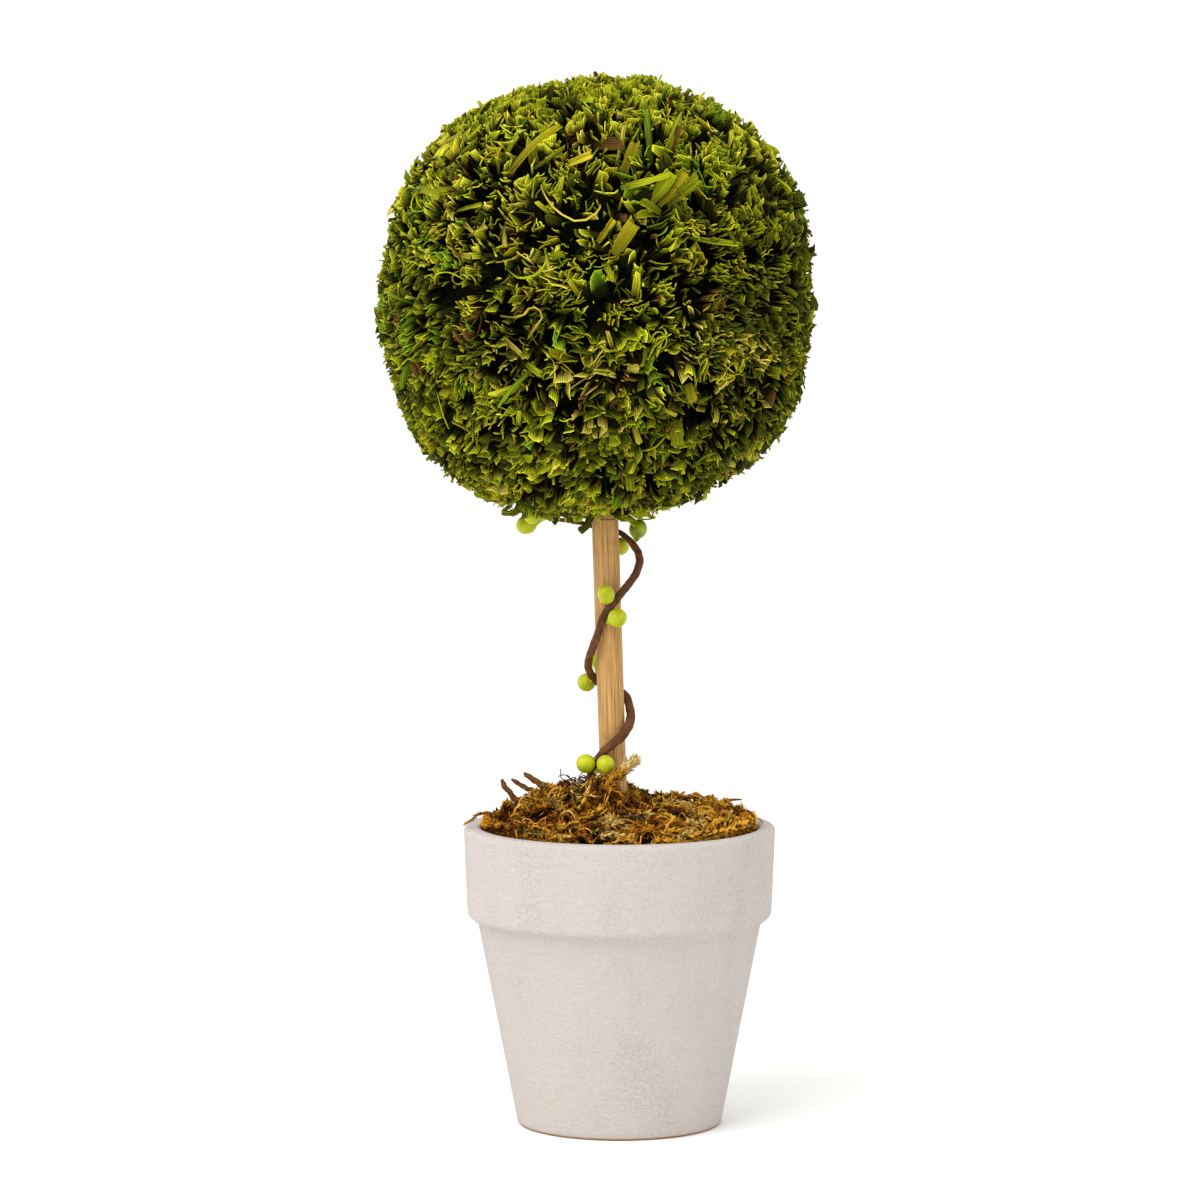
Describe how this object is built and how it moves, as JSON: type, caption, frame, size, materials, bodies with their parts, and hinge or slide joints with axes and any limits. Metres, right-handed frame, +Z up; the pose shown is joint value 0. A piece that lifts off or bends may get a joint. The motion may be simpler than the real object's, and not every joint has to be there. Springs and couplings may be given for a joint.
{
  "type": "dried-leaf ball topiary in a clay pot",
  "caption": "Ball of clipped dried leaf strips on a leaning wooden stick, with a berry vine wound round it, planted in moss in a whitewashed clay pot.",
  "frame": {"origin": "centre of the pot's flat underside, on the floor that it stands on", "axes": "+Z up through the pot and the ball, -Y towards the front from which the berry pairs show, +X to the right as seen from the front; the stick leans to -X"},
  "size_m": [0.1502, 0.1497, 0.363],
  "materials": {
    "whitewashed_clay": "matt whitewash over fired clay, fine grit and crackle",
    "dry_foam": "open-cell dry floral foam",
    "stick_wood": "bare bamboo with straight grain",
    "dried_leaf": "dried, dyed leaf strips, matt to satin",
    "vine_paper": "wrinkled brown paper wound on wire",
    "berry_skin": "painted, slightly satin",
    "dry_moss": "dry sphagnum moss",
    "dry_bark": "dry curled bark and twig",
    "grass_green": "dry grass blade"
  },
  "bodies": {
    "root": {"pot": "whitewashed_clay", "foam_block": "dry_foam", "stick": "stick_wood", "leaf_ball": "dried_leaf", "vine": "vine_paper", "berry_01": "berry_skin", "berry_02": "berry_skin", "berry_03": "berry_skin", "berry_04": "berry_skin", "berry_05": "berry_skin", "berry_06": "berry_skin", "berry_07": "berry_skin", "berry_08": "berry_skin", "berry_09": "berry_skin", "berry_10": "berry_skin", "moss_bed": "dry_moss", "moss_sprig": "dry_moss", "bark_curl_1": "dry_bark", "bark_curl_2": "dry_bark", "bark_curl_3": "dry_bark", "rim_twig": "dry_bark", "grass_blade": "grass_green"}
  },
  "joints": []
}
